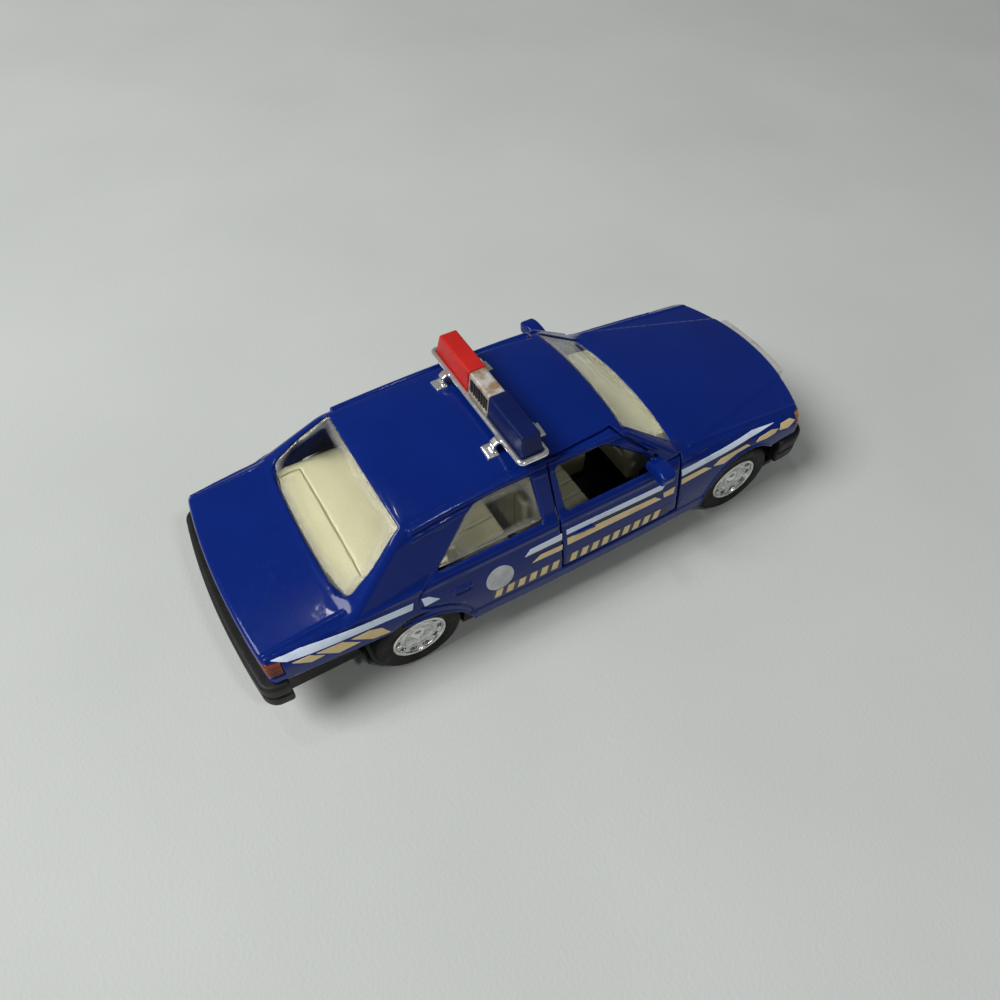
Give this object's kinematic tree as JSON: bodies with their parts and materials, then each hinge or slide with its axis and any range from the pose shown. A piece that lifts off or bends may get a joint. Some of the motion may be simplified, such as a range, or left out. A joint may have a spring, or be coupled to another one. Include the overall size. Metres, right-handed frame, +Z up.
{
  "type": "toy police car",
  "caption": "Die-cast toy police saloon with opening front doors, roof light bar, rolling wheels and a pull-back drive, standing on its wheels.",
  "frame": {"origin": "on the ground under the middle of the length and width, with the tyres at Z = 0", "axes": "+X to the nose, +Y to the car's left side, +Z up"},
  "size_m": [0.1284, 0.0512, 0.0435],
  "materials": {
    "blue_paint": "glossy enamel on die-cast zinc",
    "clear_plastic": "clear moulded plastic",
    "black_plastic": "matt moulded plastic",
    "cream_plastic": "satin moulded plastic",
    "dark_plastic": "satin moulded plastic",
    "chrome_plating": "bright plating",
    "red_plastic": "tinted moulded plastic",
    "blue_plastic": "tinted moulded plastic",
    "silver_paint": "worn silver paint",
    "lamp_plastic": "clear ribbed plastic",
    "amber_plastic": "tinted moulded plastic",
    "tail_plastic": "tinted ribbed plastic",
    "steel": "plain steel",
    "tyre_rubber": "smooth soft plastic tyre",
    "gear_plastic": "moulded plastic",
    "spring_steel": "blued spring strip"
  },
  "bodies": {
    "car": {"body_shell": "blue_paint", "glazing": "clear_plastic", "base_plate": "black_plastic", "seat_unit": "cream_plastic", "dashboard": "cream_plastic", "steering_wheel": "dark_plastic", "light_bar_frame": "chrome_plating", "red_lens": "red_plastic", "blue_lens": "blue_plastic", "siren_block": "silver_paint", "grille": "chrome_plating", "headlamp_left": "lamp_plastic", "headlamp_right": "lamp_plastic", "indicator_left": "amber_plastic", "indicator_right": "amber_plastic", "tail_lamp_left": "tail_plastic", "tail_lamp_right": "tail_plastic", "base_screws": "steel", "motor_pins": "steel", "motor_case": "black_plastic", "motor_cover": "black_plastic"},
    "left_door": {"door_left": "blue_paint"},
    "right_door": {"door_right": "blue_paint"},
    "front_wheels": {"front_axle": "steel", "front_tyre_left": "tyre_rubber", "front_tyre_right": "tyre_rubber", "front_hub_left": "chrome_plating", "front_hub_right": "chrome_plating"},
    "rear_wheels": {"rear_axle": "steel", "rear_tyre_left": "tyre_rubber", "rear_tyre_right": "tyre_rubber", "rear_hub_left": "chrome_plating", "rear_hub_right": "chrome_plating", "drive_gear": "gear_plastic"},
    "idler": {"idler_gear": "gear_plastic"},
    "barrel": {"spring_barrel": "gear_plastic", "mainspring": "spring_steel"}
  },
  "joints": [
    {"name": "left_door_hinge", "type": "hinge", "parent": "car", "child": "left_door", "pos_m": [0.0216, 0.0214, 0.011], "axis": [0, 0.1851, -0.9827], "range_deg": [0, 65]},
    {"name": "right_door_hinge", "type": "hinge", "parent": "car", "child": "right_door", "pos_m": [0.0216, -0.0214, 0.011], "axis": [0, 0.1851, 0.9827], "range_deg": [0, 65]},
    {"name": "front_axle_spin", "type": "hinge", "parent": "car", "child": "front_wheels", "pos_m": [0.0426, 0, 0.0088], "axis": [0, 1, 0], "continuous": true},
    {"name": "rear_axle_spin", "type": "hinge", "parent": "car", "child": "rear_wheels", "pos_m": [-0.0337, 0, 0.0088], "axis": [0, 1, 0], "continuous": true},
    {"name": "idler_spin", "type": "hinge", "parent": "car", "child": "idler", "pos_m": [-0.0372, 0, 0.01486], "axis": [0, 1, 0], "continuous": true},
    {"name": "barrel_spin", "type": "hinge", "parent": "car", "child": "barrel", "pos_m": [-0.04767, 0, 0.01413], "axis": [0, 1, 0], "continuous": true}
  ],
  "couplings": [
    {"joint": "idler_spin", "follows": "rear_axle_spin", "ratio": -0.55556},
    {"joint": "barrel_spin", "follows": "rear_axle_spin", "ratio": 0.41667}
  ]
}
